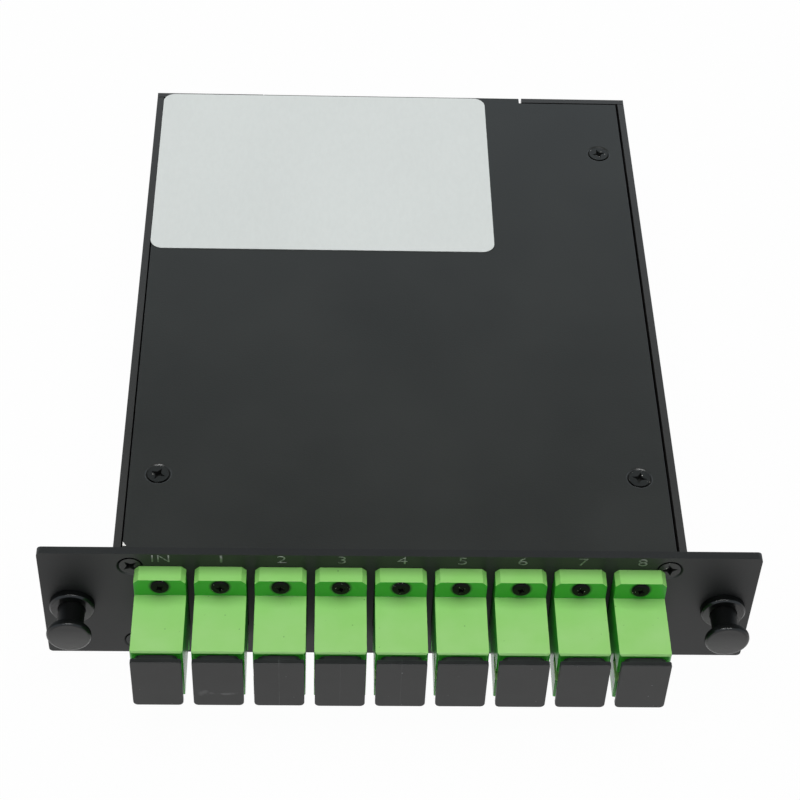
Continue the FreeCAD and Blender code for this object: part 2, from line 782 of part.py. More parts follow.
save("output_fibres", tails[1:] + [splitter_lead(1, bundle, coil)])
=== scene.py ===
import bmesh
import bpy
import json
import math
from mathutils import Matrix, Vector


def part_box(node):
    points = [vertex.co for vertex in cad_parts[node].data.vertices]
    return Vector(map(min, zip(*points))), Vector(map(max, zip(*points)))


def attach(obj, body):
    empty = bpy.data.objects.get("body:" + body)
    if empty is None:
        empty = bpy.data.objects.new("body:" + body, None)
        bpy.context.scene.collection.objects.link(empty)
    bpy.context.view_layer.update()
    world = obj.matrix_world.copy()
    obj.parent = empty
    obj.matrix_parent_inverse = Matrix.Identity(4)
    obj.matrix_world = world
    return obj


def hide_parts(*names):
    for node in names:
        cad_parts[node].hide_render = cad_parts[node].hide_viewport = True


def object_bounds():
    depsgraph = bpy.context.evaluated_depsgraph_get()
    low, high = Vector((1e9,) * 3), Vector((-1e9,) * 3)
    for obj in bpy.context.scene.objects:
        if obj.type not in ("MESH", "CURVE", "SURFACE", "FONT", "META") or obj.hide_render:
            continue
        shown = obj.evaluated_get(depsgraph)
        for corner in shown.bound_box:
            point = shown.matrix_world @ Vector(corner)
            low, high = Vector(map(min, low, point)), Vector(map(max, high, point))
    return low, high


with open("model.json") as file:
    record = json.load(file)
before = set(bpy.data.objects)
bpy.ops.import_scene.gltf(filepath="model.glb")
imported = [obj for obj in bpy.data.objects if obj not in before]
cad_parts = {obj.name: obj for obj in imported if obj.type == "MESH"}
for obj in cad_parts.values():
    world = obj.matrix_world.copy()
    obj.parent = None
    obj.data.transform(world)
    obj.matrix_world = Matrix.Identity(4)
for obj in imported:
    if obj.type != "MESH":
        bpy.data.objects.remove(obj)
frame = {"nodes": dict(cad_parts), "record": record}
cadBox = [list(corner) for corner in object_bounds()]
nodes = frame["nodes"]
bodyMembers = frame["record"]["behaviour"]["bodies"]
bodyOfNode = {node: body for body, members in bodyMembers.items() for node in members}
mm = 0.001
portNames = ["in"] + [str(number) for number in range(1, 9)]
sides = ["left", "right"]
portScrewRadius = 1.6 * mm      # of the heads, round which a soft ring of shade is painted
print("frame loaded:", len(nodes), "nodes")


def middleX(node):
    low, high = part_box(node)
    return (low.x + high.x) / 2


# helpers for node trees

def tone(red, green, blue):
    # a colour as picked on a screen, 0 to 255, turned into the shader's own numbers
    linear = [((part / 255 + 0.055) / 1.055) ** 2.4 for part in (red, green, blue)]
    return (*linear, 1.0)


def addNode(tree, kind, inputs=None, **settings):
    # an input is a fixed value or another node's output, under its socket's name or number
    node = tree.nodes.new(kind)
    for name, value in settings.items():
        setattr(node, name, value)
    for key, value in (inputs or {}).items():
        if isinstance(value, bpy.types.NodeSocket):
            tree.links.new(value, node.inputs[key])
        else:
            node.inputs[key].default_value = value
    return node


def calc(tree, operation, *values):
    return addNode(tree, "ShaderNodeMath", dict(enumerate(values)), operation=operation).outputs[0]


def ramp(tree, value, start, end, first=0.0, last=1.0):
    # first as far as start, last from end on, and evenly from one to the other between them
    inputs = {"Value": value, "From Min": start, "From Max": end, "To Min": first, "To Max": last}
    return addNode(tree, "ShaderNodeMapRange", inputs).outputs["Result"]


def axesOf(tree, vector):
    return addNode(tree, "ShaderNodeSeparateXYZ", {0: vector}).outputs


def mixColour(tree, factor, first, second):
    node = addNode(tree, "ShaderNodeMix", {0: factor, 6: first, 7: second}, data_type="RGBA")
    return node.outputs[2]


def objectPlace(tree):
    return addNode(tree, "ShaderNodeTexCoord").outputs["Object"]


def distanceTo(tree, place):
    inputs = {0: objectPlace(tree), 1: place}
    return addNode(tree, "ShaderNodeVectorMath", inputs, operation="DISTANCE").outputs["Value"]


def noiseBand(tree, scale, band=(0.3, 0.7), detail=2.0, stretch=(1, 1, 1)):
    # 0 where the noise is under the band, 1 where it is over it; scale is in patches per metre
    where = addNode(tree, "ShaderNodeMapping", {"Vector": objectPlace(tree), "Scale": stretch})
    inputs = {"Vector": where.outputs[0], "Scale": scale, "Detail": detail}
    return ramp(tree, addNode(tree, "ShaderNodeTexNoise", inputs).outputs["Fac"], *band)


def spotNear(tree, place, radius, soft, wobble=0.0, grain=900):
    # 1 at a place on the piece, falling to 0 at its ragged edge
    ragged = calc(tree, "MULTIPLY_ADD", noiseBand(tree, grain), wobble, distanceTo(tree, place))
    return ramp(tree, ragged, radius, radius - soft)


def lineShare(tree, value, middle, width):
    # 1 where a value is at the line's middle, falling to 0 a width away to either side
    return ramp(tree, calc(tree, "ABSOLUTE", calc(tree, "SUBTRACT", value, middle)), width, 0.0)


def facingShare(tree, axis, turn):
    # 0 on faces that look along an axis by the turn's first number, 1 by its second
    facing = addNode(tree, "ShaderNodeNewGeometry").outputs["Normal"]
    return ramp(tree, axesOf(tree, facing)[axis], *turn)


def bumpInto(tree, shader, height, strength, depth):
    bump = addNode(tree, "ShaderNodeBump", {"Height": height, "Strength": strength, "Distance": depth})
    tree.links.new(bump.outputs[0], shader.inputs["Normal"])


def startMaterial(name, roughness, specular=0.5, metallic=0.0):
    material = bpy.data.materials.new(name)
    material.use_nodes = True
    tree = material.node_tree
    shader = tree.nodes["Principled BSDF"]
    shader.inputs["Roughness"].default_value = roughness
    shader.inputs["Specular IOR Level"].default_value = specular
    shader.inputs["Metallic"].default_value = metallic
    return material, tree, shader


# finishes; cloud, grain and the like are what noiseBand takes, and dot, patch and smear what spotNear takes

coatValues = {
    "colours": {
        "tray": (tone(46, 46, 45), tone(55, 54, 53)),
        "cover": (tone(38, 39, 38), tone(45, 46, 44)),
        "panel": (tone(22, 22, 21), tone(30, 30, 29)),
    },
    "roughness": {"tray": (0.3, 0.36), "cover": (0.28, 0.34), "panel": (0.5, 0.56)},
    "specular": {"tray": 0.5, "cover": 0.5, "panel": 0.54},
    "upright": {"panel": tone(9, 10, 9)},      # painted shade: the panel's upright faces, its front among them, are darker than those that lie flat
    "uprightTurn": (0.2, 0.8),
    "cloud": {"scale": 45, "detail": 4.0},
    "grain": {"scale": 2600, "band": (0.25, 0.75), "detail": 3.0},
    "grainShare": 0.45,      # of the colour's change, the rest being the cloud's
    "bump": {"strength": 0.25, "depth": 0.03 * mm},
    "chipped": "cover",      # the piece with a chip at its front left corner
    "bareMetal": tone(235, 235, 232),
    "chipWidth": 0.75 * mm,
    "chipLength": 1.0 * mm,
    "chipSetback": 0.55 * mm,
    "chipReach": 1.25,
    "chipEdge": {"scale": 1800},
    "chipRagged": 0.5,
}


def chipShare(tree):
    # 1 on a three-cornered chip, wide at the cover's front edge
    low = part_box("top_cover")[0]
    axes = axesOf(tree, objectPlace(tree))
    front = low.y + coatValues["chipSetback"]
    inward = calc(tree, "DIVIDE", calc(tree, "SUBTRACT", axes["X"], low.x), coatValues["chipWidth"])
    back = calc(tree, "DIVIDE", calc(tree, "SUBTRACT", axes["Y"], front), coatValues["chipLength"])
    edge = calc(tree, "MULTIPLY", noiseBand(tree, **coatValues["chipEdge"]), coatValues["chipRagged"])
    ragged = calc(tree, "ADD", edge, calc(tree, "ADD", inward, back))
    inside = calc(tree, "LESS_THAN", ragged, coatValues["chipReach"])
    return calc(tree, "MULTIPLY", inside, calc(tree, "GREATER_THAN", back, 0.0))


def powderCoat(name, piece):
    smooth, rough = coatValues["roughness"][piece]
    dark, light = coatValues["colours"][piece]
    material, tree, shader = startMaterial(name, smooth, coatValues["specular"][piece])
    cloud = noiseBand(tree, **coatValues["cloud"])
    grain = noiseBand(tree, **coatValues["grain"])
    grainShare = coatValues["grainShare"]
    mixed = calc(tree, "MULTIPLY_ADD", grain, grainShare, calc(tree, "MULTIPLY", cloud, 1 - grainShare))
    colour = mixColour(tree, mixed, dark, light)
    # painted shade: the panel's upright faces take a darker tone than its flat ones
    if piece in coatValues["upright"]:
        uprightShade = facingShare(tree, "Z", coatValues["uprightTurn"])
        colour = mixColour(tree, uprightShade, coatValues["upright"][piece], colour)
    if piece == coatValues["chipped"]:
        colour = mixColour(tree, chipShare(tree), colour, coatValues["bareMetal"])
    tree.links.new(colour, shader.inputs["Base Color"])
    tree.links.new(ramp(tree, cloud, 0.0, 1.0, smooth, rough), shader.inputs["Roughness"])
    bumpInto(tree, shader, grain, **coatValues["bump"])
    return material


paperValues = {
    "base": tone(218, 223, 221),
    "shade": tone(212, 217, 215),
    "roughness": 0.38,
    "specular": 0.4,
    "fibre": {"scale": 1400, "detail": 4.0, "stretch": (1, 0.4, 1)},
    "cloud": {"scale": 30},
    "bump": {"strength": 0.12, "depth": 0.02 * mm},
}


def labelPaper(name):
    material, tree, shader = startMaterial(name, paperValues["roughness"], paperValues["specular"])
    fibre = noiseBand(tree, **paperValues["fibre"])
    cloud = noiseBand(tree, **paperValues["cloud"])
    mixed = calc(tree, "MULTIPLY", calc(tree, "ADD", fibre, cloud), 0.5)
    colour = mixColour(tree, mixed, paperValues["base"], paperValues["shade"])
    tree.links.new(colour, shader.inputs["Base Color"])
    bumpInto(tree, shader, fibre, **paperValues["bump"])
    return material


greenValues = {
    "base": tone(156, 212, 126),
    "deep": tone(148, 209, 115),
    "side": tone(62, 198, 48),      # painted shade: faces that look sideways are darker and deeper green than the tops, which are painted lighter
    "sideShadeTurn": (0.1, 0.75),
    "flangeShade": tone(128, 207, 98),      # painted shade and green reflection: deeper green next to the flange
    "flangeShadeReach": (-13 * mm, -5.5 * mm),
    "flangeShadeShare": 0.35,
    "screwShade": tone(30, 62, 26),      # painted shade in a soft ring round each screw's head
    "screwShadeInside": 1.55 * mm,
    "screwShadeOutside": 2.15 * mm,
    "screwShadeTurn": (-0.6, -0.9),
    "speck": tone(52, 92, 38),
    "specks": {"scale": 1900, "band": (0.86, 0.89), "detail": 0.0},
    "speckShare": 0.6,
    "roughness": 0.26,
    "specular": 0.42,
    "cloud": {"scale": 160, "detail": 3.0},
    "grain": {"scale": 900, "detail": 3.0},
    "bump": {"strength": 0.1, "depth": 0.03 * mm},
}


def screwRing(tree):
    # 1 close round each port screw, where shade is painted; their places repeat at the ports' pitch, above
    # and below one height
    firstX, lastX = middleX("adapter_in"), middleX("adapter_8")
    pitch = (lastX - firstX) / (len(portNames) - 1)
    low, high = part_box("adapter_screws")
    middle = (low.z + high.z) / 2
    half = (high.z - low.z) / 2 - portScrewRadius
    axes = axesOf(tree, objectPlace(tree))
    across = calc(tree, "WRAP", calc(tree, "SUBTRACT", axes["X"], firstX), pitch / 2, -pitch / 2)
    upright = calc(tree, "SUBTRACT", calc(tree, "ABSOLUTE", calc(tree, "SUBTRACT", axes["Z"], middle)), half)
    offset = addNode(tree, "ShaderNodeCombineXYZ", {0: across, 2: upright}).outputs[0]
    away = addNode(tree, "ShaderNodeVectorMath", {0: offset}, operation="LENGTH").outputs["Value"]
    return ramp(tree, away, greenValues["screwShadeOutside"], greenValues["screwShadeInside"])


def greenPlastic(name):
    material, tree, shader = startMaterial(name, greenValues["roughness"], greenValues["specular"])
    cloud = noiseBand(tree, **greenValues["cloud"])
    colour = mixColour(tree, cloud, greenValues["base"], greenValues["deep"])
    along = axesOf(tree, objectPlace(tree))["Y"]
    # painted shade and green reflection, deeper towards the flange
    flangeShade = ramp(tree, along, *greenValues["flangeShadeReach"], last=greenValues["flangeShadeShare"])
    colour = mixColour(tree, flangeShade, colour, greenValues["flangeShade"])
    # painted light and shade: lighter tops, darker and deeper green sides
    colour = mixColour(tree, facingShare(tree, "Z", greenValues["sideShadeTurn"]), greenValues["side"], colour)
    specks = calc(tree, "MULTIPLY", noiseBand(tree, **greenValues["specks"]), greenValues["speckShare"])
    colour = mixColour(tree, specks, colour, greenValues["speck"])
    # painted shade: a dark ring round each port screw's head, on faces that look to the front
    screwShade = calc(tree, "MULTIPLY", screwRing(tree), facingShare(tree, "Y", greenValues["screwShadeTurn"]))
    colour = mixColour(tree, screwShade, colour, greenValues["screwShade"])
    tree.links.new(colour, shader.inputs["Base Color"])
    bumpInto(tree, shader, noiseBand(tree, **greenValues["grain"]), **greenValues["bump"])
    return material


capValues = {
    "base": tone(24, 25, 24),
    "light": tone(31, 32, 31),
    "roughness": 0.42,
    "specular": 0.48,
    "cloud": {"scale": 220, "detail": 3.0},
    "grain": {"scale": 1800, "detail": 3.0},
    "bump": {"strength": 0.12, "depth": 0.02 * mm},
    "dust": tone(120, 122, 122),
    "dustShare": 0.5,
    "dots": {"scale": 1700, "band": (0.87, 0.9), "detail": 0.0},
    "dotCap": "4",      # the cap with one larger dot, a little right of its middle
    "dotRight": 0.1 * mm,
    "dotDown": 2.55 * mm,
    "dot": {"radius": 0.19 * mm, "soft": 0.06 * mm},
    "dotGain": 2.0,
    "scuffCap": "1",      # the cap with an arc rubbed on it, and a smear beside the arc
    "scuff": tone(128, 130, 130),
    "scuffShare": 0.62,
    "scuffRight": 0.9 * mm,
    "scuffUp": 3.5 * mm,
    "scuffCurve": 11 * mm,
    "scuffWidth": 0.42 * mm,
    "scuffPatch": {"radius": 4.0 * mm, "soft": 1.5 * mm, "wobble": 1.2 * mm, "grain": 500},
    "scuffWear": {"scale": 520, "band": (0.4, 0.62), "detail": 4.0},
    "smear": {"radius": 1.7 * mm, "soft": 1.5 * mm, "wobble": 1.2 * mm, "grain": 700},
    "smearShift": Vector((-3.6 * mm, 0, 0.5 * mm)),
    "smearShare": 0.9,
    "seamCaps": {"2": 0.8, "3": 0.35, "4": 0.4},      # how clear the mould's line, painted lighter as the highlight on its ridge, is on each of these
    "seam": tone(92, 94, 94),
    "seamWidth": 0.07 * mm,
    "seamWear": {"scale": 400, "band": (0.3, 0.6)},
}


def scuffRub(tree, place):
    # one long shallow arc, rubbed away in places, and the smear
    away = distanceTo(tree, place + Vector((0, 0, capValues["scuffCurve"])))
    line = lineShare(tree, away, capValues["scuffCurve"], capValues["scuffWidth"])
    patch = spotNear(tree, place, **capValues["scuffPatch"])
    worn = noiseBand(tree, **capValues["scuffWear"])
    arc = calc(tree, "MULTIPLY", calc(tree, "MULTIPLY", line, patch), worn)
    smear = spotNear(tree, place + capValues["smearShift"], **capValues["smear"])
    return calc(tree, "MAXIMUM", arc, calc(tree, "MULTIPLY", smear, capValues["smearShare"]))


def capPlastic(name, port=None):
    # a port names the one cap that this is for, with that cap's own marks
    material, tree, shader = startMaterial(name, capValues["roughness"], capValues["specular"])
    low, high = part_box("dust_cap_" + (port or "in"))
    middle = (low.x + high.x) / 2
    colour = mixColour(tree, noiseBand(tree, **capValues["cloud"]), capValues["base"], capValues["light"])
    dots = noiseBand(tree, **capValues["dots"])
    if port == capValues["dotCap"]:
        place = Vector((middle + capValues["dotRight"], low.y, high.z - capValues["dotDown"]))
        large = calc(tree, "MULTIPLY", spotNear(tree, place, **capValues["dot"]), capValues["dotGain"])
        dots = calc(tree, "MAXIMUM", dots, large)
    colour = mixColour(tree, calc(tree, "MULTIPLY", dots, capValues["dustShare"]), colour, capValues["dust"])
    if port == capValues["scuffCap"]:
        place = Vector((middle + capValues["scuffRight"], low.y, low.z + capValues["scuffUp"]))
        rubbed = calc(tree, "MULTIPLY", scuffRub(tree, place), capValues["scuffShare"])
        colour = mixColour(tree, rubbed, colour, capValues["scuff"])
    # the mould's line, with a painted highlight: lighter where its ridge would catch the light
    if port in capValues["seamCaps"]:
        line = lineShare(tree, axesOf(tree, objectPlace(tree))["X"], middle, capValues["seamWidth"])
        broken = calc(tree, "MULTIPLY", line, noiseBand(tree, **capValues["seamWear"]))
        share = calc(tree, "MULTIPLY", broken, capValues["seamCaps"][port])
        colour = mixColour(tree, share, colour, capValues["seam"])
    tree.links.new(colour, shader.inputs["Base Color"])
    bumpInto(tree, shader, noiseBand(tree, **capValues["grain"]), **capValues["bump"])
    return material


smoothValues = {
    "latch": {
        "name": "black latch plastic", "base": tone(9, 10, 10), "light": tone(13, 14, 14), "roughness": 0.5,
        "specular": 0.12, "grain": 700, "bump": 0.05, "frontReflection": True,
    },
    "insert": {
        "name": "white insert plastic", "base": tone(222, 220, 210), "light": tone(232, 231, 224),
        "roughness": 0.4,
    },
    "screw": {
        "name": "blackened screw steel", "base": tone(27, 28, 27), "light": tone(38, 39, 38),
        "roughness": 0.38, "specular": 0.42, "grain": 2400, "bump": 0.12, "paintedGlints": tone(206, 204, 198),
    },
    "portScrew": {
        "name": "black port screw steel", "base": tone(8, 8, 8), "light": tone(15, 15, 15),
        "roughness": 0.5, "specular": 0.12, "grain": 2400, "bump": 0.12, "paintedGlints": tone(214, 212, 206),
    },
    "ceramic": {
        "name": "white ceramic", "base": tone(236, 236, 232), "light": tone(244, 244, 241),
        "roughness": 0.15, "grain": 600, "bump": 0.03,
    },
    "jacket": {
        "name": "fibre jacket", "base": tone(232, 214, 96), "light": tone(238, 224, 122), "roughness": 0.42,
    },
}
smoothNoise = {
    "cloud": {"scale": 180, "detail": 3.0},
    "grainDetail": 3.0,
    "bumpDepth": 0.02 * mm,
    "paintedGlints": {"scale": 2600, "band": (0.8, 0.82), "detail": 0.0},
}
frontReflectionValues = {
    "paintedReflection": tone(95, 94, 94),      # painted reflection: a lighter grey on the fronts, more so lower down
    "paintedReflectionFrom": 2.3 * mm,
    "paintedReflectionTo": -2.7 * mm,
    "frontTurn": (-0.75, -0.97),
    "polish": 0.65,      # on the fronts and the rounded edges; the rims and the neck stay dull
    "polishTurn": (-0.3, -0.55),
    "polishRoughness": 0.16,
}


def handledColour(tree, shader, colour):
    # a clear coat on what looks to the front, and painted reflection: the fronts lighter grey, more so lower
    # down
    polish = facingShare(tree, "Y", frontReflectionValues["polishTurn"])
    tree.links.new(calc(tree, "MULTIPLY", polish, frontReflectionValues["polish"]), shader.inputs["Coat Weight"])
    shader.inputs["Coat Roughness"].default_value = frontReflectionValues["polishRoughness"]
    # painted reflection: the fronts go lighter grey towards the bottom
    height = axesOf(tree, objectPlace(tree))["Z"]
    drop = ramp(tree, height, frontReflectionValues["paintedReflectionFrom"], frontReflectionValues["paintedReflectionTo"])
    share = calc(tree, "MULTIPLY", facingShare(tree, "Y", frontReflectionValues["frontTurn"]), drop)
    return mixColour(tree, share, colour, frontReflectionValues["paintedReflection"])


def smoothFinish(name, base, light, roughness, specular=0.5, grain=1200, bump=0.1, paintedGlints=None, frontReflection=False):
    material, tree, shader = startMaterial(name, roughness, specular)
    colour = mixColour(tree, noiseBand(tree, **smoothNoise["cloud"]), base, light)
    if frontReflection:
        colour = handledColour(tree, shader, colour)
    # painted highlight: small light glints scattered over the screws
    if paintedGlints is not None:
        colour = mixColour(tree, noiseBand(tree, **smoothNoise["paintedGlints"]), colour, paintedGlints)
    tree.links.new(colour, shader.inputs["Base Color"])
    fine = noiseBand(tree, grain, detail=smoothNoise["grainDetail"])
    bumpInto(tree, shader, fine, bump, smoothNoise["bumpDepth"])
    return material


steelValues = {
    "base": tone(168, 170, 172),
    "light": tone(196, 197, 198),
    "roughness": (0.24, 0.38),
    "lines": {"scale": 900, "detail": 4.0, "stretch": (1, 12, 12)},
    "bump": {"strength": 0.1, "depth": 0.01 * mm},
}


def brushedSteel(name):
    smooth, rough = steelValues["roughness"]
    material, tree, shader = startMaterial(name, smooth, metallic=1.0)
    lines = noiseBand(tree, **steelValues["lines"])
    colour = mixColour(tree, lines, steelValues["base"], steelValues["light"])
    tree.links.new(colour, shader.inputs["Base Color"])
    tree.links.new(ramp(tree, lines, 0.0, 1.0, smooth, rough), shader.inputs["Roughness"])
    bumpInto(tree, shader, lines, **steelValues["bump"])
    return material


inkValues = {
    "fresh": tone(160, 164, 158),
    "worn": tone(98, 102, 98),
    "roughness": 0.55,
    "wear": {"scale": 1500, "band": (0.42, 0.62)},
}


def markInk(name):
    material, tree, shader = startMaterial(name, inkValues["roughness"])
    colour = mixColour(tree, noiseBand(tree, **inkValues["wear"]), inkValues["fresh"], inkValues["worn"])
    tree.links.new(colour, shader.inputs["Base Color"])
    return material


finishes = {
    "coat": powderCoat("powder coat, tray", "tray"),
    "coverCoat": powderCoat("powder coat, cover with a chipped corner", "cover"),
    "panelCoat": powderCoat("powder coat, panel", "panel"),
    "paper": labelPaper("satin label paper"),
    "green": greenPlastic("green moulded plastic"),
    "cap": capPlastic("black cap plastic"),
    "cap" + capValues["scuffCap"]: capPlastic("black cap plastic, scuffed", capValues["scuffCap"]),
    "steel": brushedSteel("splitter tube steel"),
    "ink": markInk("mark ink"),
}
for port in capValues["seamCaps"]:
    finishes["cap" + port] = capPlastic("black cap plastic, seam " + port, port)
for label, values in smoothValues.items():
    finishes[label] = smoothFinish(**values)
print("finishes made:", len(finishes))


# helpers for pieces

meshValues = {
    "mergeWithin": 0.002 * mm,
    "flatAngle": 0.5,      # in degrees, as the next two: faces that turn by less are one face
    "cornerAngle": 35,      # edges that turn by more are rounded
    "sharpAngle": 32,      # edges of screws that turn by more are shaded sharp
}


def addPiece(name, mesh):
    piece = bpy.data.objects.new(name, mesh)
    bpy.context.scene.collection.objects.link(piece)
    return piece


def newMesh(piece):
    # what a piece's modifiers, or its text, come to as a mesh
    evaluated = piece.evaluated_get(bpy.context.evaluated_depsgraph_get())
    return bpy.data.meshes.new_from_object(evaluated)


def bakeModifiers(piece):
    mesh = newMesh(piece)
    piece.modifiers.clear()
    piece.data = mesh


def shadeSmooth(mesh):
    for polygon in mesh.polygons:
        polygon.use_smooth = True


def setFinish(piece, finish):
    piece.data.materials.clear()
    piece.data.materials.append(finishes[finish])


def joinedCopy(node):
    # a node's loose triangles as one closed mesh, with its flat faces whole again
    copy = bmesh.new()
    copy.from_mesh(nodes[node].data)
    flat = math.radians(meshValues["flatAngle"])
    bmesh.ops.remove_doubles(copy, verts=copy.verts, dist=meshValues["mergeWithin"])
    bmesh.ops.dissolve_limit(copy, angle_limit=flat, verts=copy.verts, edges=copy.edges)
    return copy


def softEdges(piece, edgeRound, edgeSteps):
    bevel = piece.modifiers.new("edges", "BEVEL")
    bevel.width = edgeRound
    bevel.segments = edgeSteps
    bevel.limit_method = "ANGLE"
    bevel.angle_limit = math.radians(meshValues["cornerAngle"])
    bevel.use_clamp_overlap = True
    flats = piece.modifiers.new("flats", "WEIGHTED_NORMAL")
    flats.keep_sharp = True
    bakeModifiers(piece)


def moulded(node, pieceName, values, finish):
    # stands for a node, in the same form with soft edges
    copy = joinedCopy(node)
    mesh = bpy.data.meshes.new(pieceName)
    copy.to_mesh(mesh)
    copy.free()
    shadeSmooth(mesh)
    piece = addPiece(pieceName, mesh)
    softEdges(piece, **values)
    setFinish(piece, finish)
    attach(piece, bodyOfNode[node])
    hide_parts(node)


def looseParts(node):
    # the lowest and highest corner of each separate solid in a node, from left to right
    copy = joinedCopy(node)
    waiting = set(copy.verts)
    boxes = []
    while waiting:
        front = [waiting.pop()]
        found = []
        while front:
            vert = front.pop()
            found.append(vert.co.copy())
            for edge in vert.link_edges:
                other = edge.other_vert(vert)
                if other in waiting:
                    waiting.discard(other)
                    front.append(other)
        low = Vector([min(point[axis] for point in found) for axis in range(3)])
        high = Vector([max(point[axis] for point in found) for axis in range(3)])
        boxes.append((low, high))
    copy.free()
    digits = 5      # to a hundredth of a millimetre
    return sorted(boxes, key=lambda box: tuple(round(box[0][axis], digits) for axis in (0, 2, 1)))


# case: tray, cover and front panel

caseValues = {
    "sheet": {"edgeRound": 0.14 * mm, "edgeSteps": 2},
    "panel": {"edgeRound": 0.2 * mm, "edgeSteps": 3},
}
moulded("body_tray", "tray_shell", caseValues["sheet"], "coat")
moulded("top_cover", "cover_plate", caseValues["sheet"], "coverCoat")
moulded("front_panel", "panel_plate", caseValues["panel"], "panelCoat")
print("case made")


# ports: green housings and black dust caps

portValues = {
    "housing": {"edgeRound": 0.22 * mm, "edgeSteps": 3},
    "cap": {"edgeRound": 0.16 * mm, "edgeSteps": 2},
}
for port in portNames:
    moulded("adapter_" + port, "housing_" + port, portValues["housing"], "green")
    capFinish = "cap" + port if "cap" + port in finishes else "cap"
    moulded("dust_cap_" + port, "cap_" + port + "_moulded", portValues["cap"], capFinish)
print("ports made:", len(portNames))


# latches: a collar in the panel and a knob that pushes into it

latchValues = {
    "collar": {"edgeRound": 0.22 * mm, "edgeSteps": 3},
    "knob": {"edgeRound": 0.3 * mm, "edgeSteps": 4},
}
for side in sides:
    collarName, knobName = "latch_collar_" + side, "latch_knob_" + side
    moulded("latch_grommet_" + side, collarName, latchValues["collar"], "latch")
    moulded("latch_plunger_" + side, knobName, latchValues["knob"], "latch")
print("latches made")


# screws, all from one kind of tree, modelled head up with the head's top at zero height

screwSizes = [
    "headRadius", "headDepth", "rim", "dome", "flatness", "recessLength", "recessWidth", "recessDepth",
    "shankRadius", "shankLength", "threadPitch", "threadDepth",
]
screwShape = {
    "domeSegments": 40,
    "domeRings": 20,
    "sunkSegments": 48,
    "bladeTop": 1.3,      # how wide a blade of the recess is at its top and its tip
    "bladeTip": 0.7,
    "threadSegments": 12,
    "stepsPerTurn": 5.0,
    "shankStart": 0.9,      # how far down the head the shank starts, as a share of the head's depth
}


def pointAxes(tree):
    return axesOf(tree, addNode(tree, "GeometryNodeInputPosition").outputs[0])


def reshape(tree, mesh, wide, deep, height):
    # multiplies each point's place across and along, and sets its height
    axes = pointAxes(tree)
    across = calc(tree, "MULTIPLY", axes["X"], wide)
    along = calc(tree, "MULTIPLY", axes["Y"], deep)
    place = addNode(tree, "ShaderNodeCombineXYZ", {0: across, 1: along, 2: height}).outputs[0]
    return addNode(tree, "GeometryNodeSetPosition", {"Geometry": mesh, "Position": place}).outputs[0]


def domedHead(tree, given):
    # a ball's upper half, as a dome on an upright rim, over its lower half pressed flat
    sizes = {"Segments": screwShape["domeSegments"], "Rings": screwShape["domeRings"], "Radius": 1.0}
    ball = addNode(tree, "GeometryNodeMeshUVSphere", sizes).outputs["Mesh"]
    up = pointAxes(tree)["Z"]
    swell = calc(tree, "POWER", calc(tree, "MAXIMUM", up, 0.0), given["flatness"])
    side = calc(tree, "MULTIPLY", calc(tree, "GREATER_THAN", up, -0.01), given["rim"])
    top = calc(tree, "MULTIPLY_ADD", swell, given["dome"], side)
    height = calc(tree, "SUBTRACT", top, calc(tree, "ADD", given["rim"], given["dome"]))
    return reshape(tree, ball, given["headRadius"], given["headRadius"], height)


def sunkHead(tree, given):
    sizes = {"Vertices": screwShape["sunkSegments"], "Side Segments": 1, "Radius Top": given["headRadius"],
             "Radius Bottom": given["shankRadius"], "Depth": given["headDepth"]}
    cone = addNode(tree, "GeometryNodeMeshCone", sizes).outputs["Mesh"]
    return reshape(tree, cone, 1.0, 1.0, calc(tree, "SUBTRACT", pointAxes(tree)["Z"], given["headDepth"]))


def recessBlade(tree, given, across):
    # one four-sided spike, long one way and thin the other, narrower at its tip
    sizes = {"Vertices": 4, "Side Segments": 1, "Radius Top": screwShape["bladeTop"],
             "Radius Bottom": screwShape["bladeTip"], "Depth": 1.0}
    spike = addNode(tree, "GeometryNodeMeshCone", sizes).outputs["Mesh"]
    labels = ("recessWidth", "recessLength") if across else ("recessLength", "recessWidth")
    wide, deep = [calc(tree, "MULTIPLY", given[label], 0.5) for label in labels]
    twice = calc(tree, "MULTIPLY", given["recessDepth"], 2.0)      # as much above the head as in it
    height = calc(tree, "MULTIPLY", calc(tree, "SUBTRACT", pointAxes(tree)["Z"], 0.5), twice)
    return reshape(tree, spike, wide, deep, height)


def threadedShank(tree, given):
    turns = calc(tree, "DIVIDE", given["shankLength"], given["threadPitch"])
    steps = calc(tree, "MULTIPLY", turns, screwShape["stepsPerTurn"])
    sizes = {"Vertices": screwShape["threadSegments"], "Side Segments": steps, "Radius": given["shankRadius"],
             "Depth": given["shankLength"]}
    rod = addNode(tree, "GeometryNodeMeshCylinder", sizes).outputs["Mesh"]
    axes = pointAxes(tree)
    turn = calc(tree, "ARCTAN2", axes["Y"], axes["X"])
    along = calc(tree, "DIVIDE", calc(tree, "MULTIPLY", axes["Z"], 2 * math.pi), given["threadPitch"])
    wave = calc(tree, "SUBTRACT", calc(tree, "SINE", calc(tree, "ADD", along, turn)), 1.0)
    half = calc(tree, "DIVIDE", calc(tree, "MULTIPLY", given["threadDepth"], 0.5), given["shankRadius"])
    share = calc(tree, "MULTIPLY_ADD", wave, half, 1.0)
    start = calc(tree, "MULTIPLY", given["headDepth"], -screwShape["shankStart"])
    middle = calc(tree, "MULTIPLY_ADD", given["shankLength"], -0.5, start)
    return reshape(tree, rod, share, share, calc(tree, "ADD", axes["Z"], middle))


